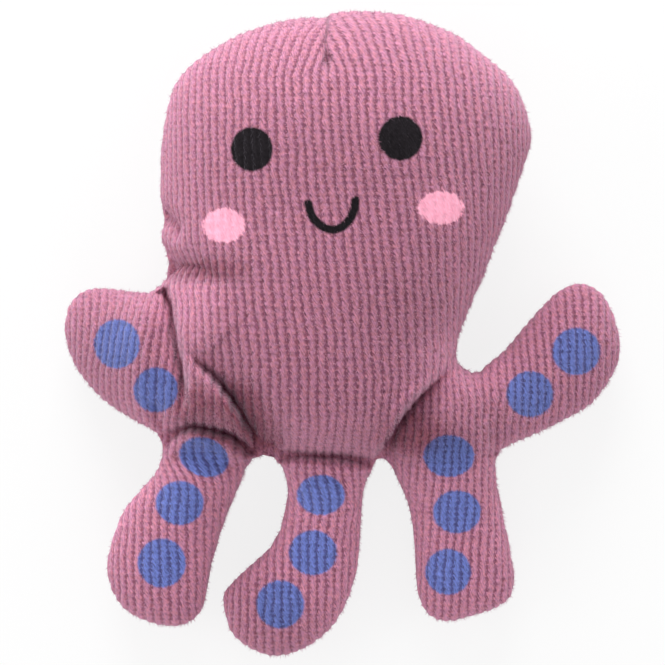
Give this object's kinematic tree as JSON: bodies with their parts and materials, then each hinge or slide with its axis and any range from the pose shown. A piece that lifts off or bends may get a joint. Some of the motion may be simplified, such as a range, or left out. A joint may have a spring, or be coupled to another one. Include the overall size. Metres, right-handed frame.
{
  "type": "plush octopus toy",
  "caption": "Soft stuffed octopus toy of ribbed plush, lying on its back, with a smiling head and stubby spotted limbs that fold at their roots.",
  "frame": {"origin": "on the surface that the toy lies on, under the middle of its outline", "axes": "+Z out of the face, +Y from the legs to the top of the head, +X to the right of a viewer who looks at the face"},
  "size_m": [0.2074, 0.239, 0.0651],
  "materials": {
    "plush": "dusty pink ribbed knit plush with a short brushed pile and printed spots and face",
    "filling": "loose white polyester fibre"
  },
  "bodies": {
    "head": {"head_front_panel": "plush", "head_back_panel": "plush", "head_filling": "filling"},
    "left_arm": {"left_arm_front_panel": "plush", "left_arm_back_panel": "plush", "left_arm_filling": "filling"},
    "left_leg": {"left_leg_front_panel": "plush", "left_leg_back_panel": "plush", "left_leg_filling": "filling"},
    "middle_leg": {"middle_leg_front_panel": "plush", "middle_leg_back_panel": "plush", "middle_leg_filling": "filling"},
    "right_leg": {"right_leg_front_panel": "plush", "right_leg_back_panel": "plush", "right_leg_filling": "filling"},
    "right_arm": {"right_arm_front_panel": "plush", "right_arm_back_panel": "plush", "right_arm_filling": "filling"}
  },
  "joints": [
    {"name": "left_arm_fold", "type": "hinge", "parent": "head", "child": "left_arm", "pos_m": [-0.066, -0.0105, 0.0285], "axis": [0.0349, 0.9994, 0], "range_deg": [-20, 70], "stiffness_Nm_per_rad": 0.02},
    {"name": "left_leg_fold", "type": "hinge", "parent": "head", "child": "left_leg", "pos_m": [-0.048, -0.045, 0.0285], "axis": [-0.9925, 0.1219, 0], "range_deg": [-20, 70], "stiffness_Nm_per_rad": 0.02},
    {"name": "middle_leg_fold", "type": "hinge", "parent": "head", "child": "middle_leg", "pos_m": [-0.0069, -0.0474, 0.0285], "axis": [-0.9998, 0.0174, 0], "range_deg": [-20, 70], "stiffness_Nm_per_rad": 0.02},
    {"name": "right_leg_fold", "type": "hinge", "parent": "head", "child": "right_leg", "pos_m": [0.0356, -0.0452, 0.0285], "axis": [-0.9903, -0.1392, 0], "range_deg": [-20, 70], "stiffness_Nm_per_rad": 0.02},
    {"name": "right_arm_fold", "type": "hinge", "parent": "head", "child": "right_arm", "pos_m": [0.05, -0.0238, 0.0285], "axis": [0.4384, -0.8988, 0], "range_deg": [-20, 70], "stiffness_Nm_per_rad": 0.02}
  ]
}
